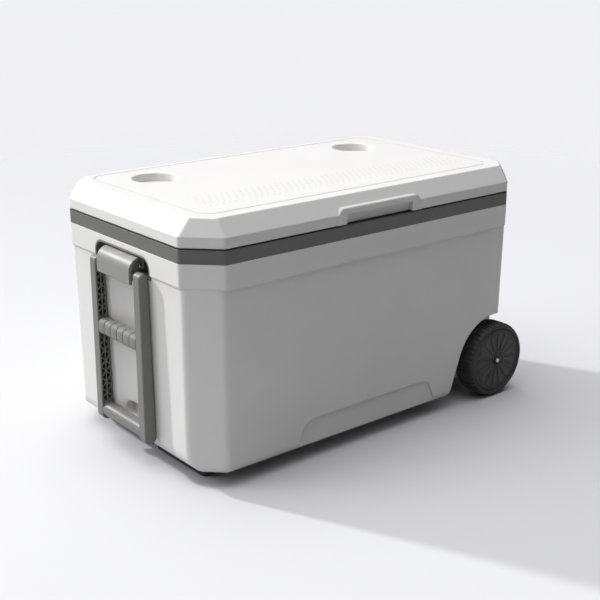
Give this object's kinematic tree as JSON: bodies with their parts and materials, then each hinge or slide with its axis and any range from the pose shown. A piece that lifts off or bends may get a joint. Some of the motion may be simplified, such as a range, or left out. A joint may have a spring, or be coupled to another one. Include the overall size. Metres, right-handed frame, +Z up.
{
  "type": "wheeled cooler",
  "caption": "Hard-sided foam-filled cooler box with a hinged lid and cup holders, a fold-out tow handle, a carry handle and a pair of wheels.",
  "frame": {"origin": "on the floor, under the middle of the bounding box", "axes": "+Z up; X along the length, with the tow handle at the -X end and the wheels at the +X end; -Y is the front with the lid grip, +Y the hinge side"},
  "size_m": [0.796, 0.466, 0.4621],
  "materials": {
    "shell_white": "fine satin moulded plastic",
    "liner_white": "smooth moulded plastic",
    "trim_grey": "satin moulded plastic",
    "handle_grey": "satin moulded plastic",
    "grip_grey": "finely textured soft plastic",
    "foam": "closed-cell foam",
    "gasket": "soft rubber",
    "tyre_black": "matte",
    "hub_black": "satin moulded plastic",
    "foot_grey": "matte",
    "steel": "zinc plated",
    "bush_plastic": "smooth",
    "drain_grey": "satin moulded plastic"
  },
  "bodies": {
    "tub": {"body_shell": "shell_white", "body_liner": "liner_white", "body_foam": "foam", "rim_band": "trim_grey", "hinge_body_leaf_left": "trim_grey", "hinge_pin_left": "steel", "hinge_body_leaf_right": "trim_grey", "hinge_pin_right": "steel", "hinge_body_screws": "steel", "handle_bracket": "handle_grey", "carry_hood": "handle_grey", "hood_screws": "steel", "tow_pivot_pin_front": "steel", "tow_pivot_pin_rear": "steel", "tow_pin_clips": "steel", "push_nut_front": "steel", "push_nut_rear": "steel", "axle_spacer_front": "hub_black", "axle_spacer_rear": "hub_black", "axle": "steel", "axle_clamp_front": "trim_grey", "axle_clamp_rear": "trim_grey", "clamp_screws": "steel", "skid_foot_front": "foot_grey", "skid_foot_rear": "foot_grey", "foot_screws": "steel", "drain_spout": "drain_grey", "drain_nut": "drain_grey"},
    "lid": {"lid_shell": "shell_white", "lid_liner": "liner_white", "lid_foam": "foam", "lid_gasket": "gasket", "hinge_lid_leaf_left": "trim_grey", "hinge_lid_leaf_right": "trim_grey", "hinge_lid_screws": "steel"},
    "tow_handle": {"tow_arm_front": "handle_grey", "tow_arm_rear": "handle_grey", "tow_mid_bar": "handle_grey", "tow_mid_grip": "grip_grey", "tow_end_bar": "handle_grey", "tow_screws": "steel"},
    "wheel_front": {"tyre_front": "tyre_black", "wheel_hub_front": "hub_black", "wheel_bush_front": "bush_plastic"},
    "wheel_rear": {"tyre_rear": "tyre_black", "wheel_hub_rear": "hub_black", "wheel_bush_rear": "bush_plastic"},
    "drain_plug": {"drain_plug": "drain_grey", "drain_seal": "gasket"}
  },
  "joints": [
    {"name": "lid_hinge", "type": "hinge", "parent": "tub", "child": "lid", "pos_m": [0, 0.2275, 0.415], "axis": [-1, 0, 0], "range_deg": [0, 105]},
    {"name": "tow_handle_pivot", "type": "hinge", "parent": "tub", "child": "tow_handle", "pos_m": [-0.38775, 0, 0.34485], "axis": [0, 1, 0], "range_deg": [0, 120]},
    {"name": "wheel_front_spin", "type": "hinge", "parent": "tub", "child": "wheel_front", "pos_m": [0.322, -0.2, 0.076], "axis": [0, 1, 0], "continuous": true},
    {"name": "wheel_rear_spin", "type": "hinge", "parent": "tub", "child": "wheel_rear", "pos_m": [0.322, 0.2, 0.076], "axis": [0, 1, 0], "continuous": true},
    {"name": "drain_plug_pull", "type": "slide", "parent": "tub", "child": "drain_plug", "axis": [1, 0, 0], "range_m": [0, 0.03]}
  ]
}
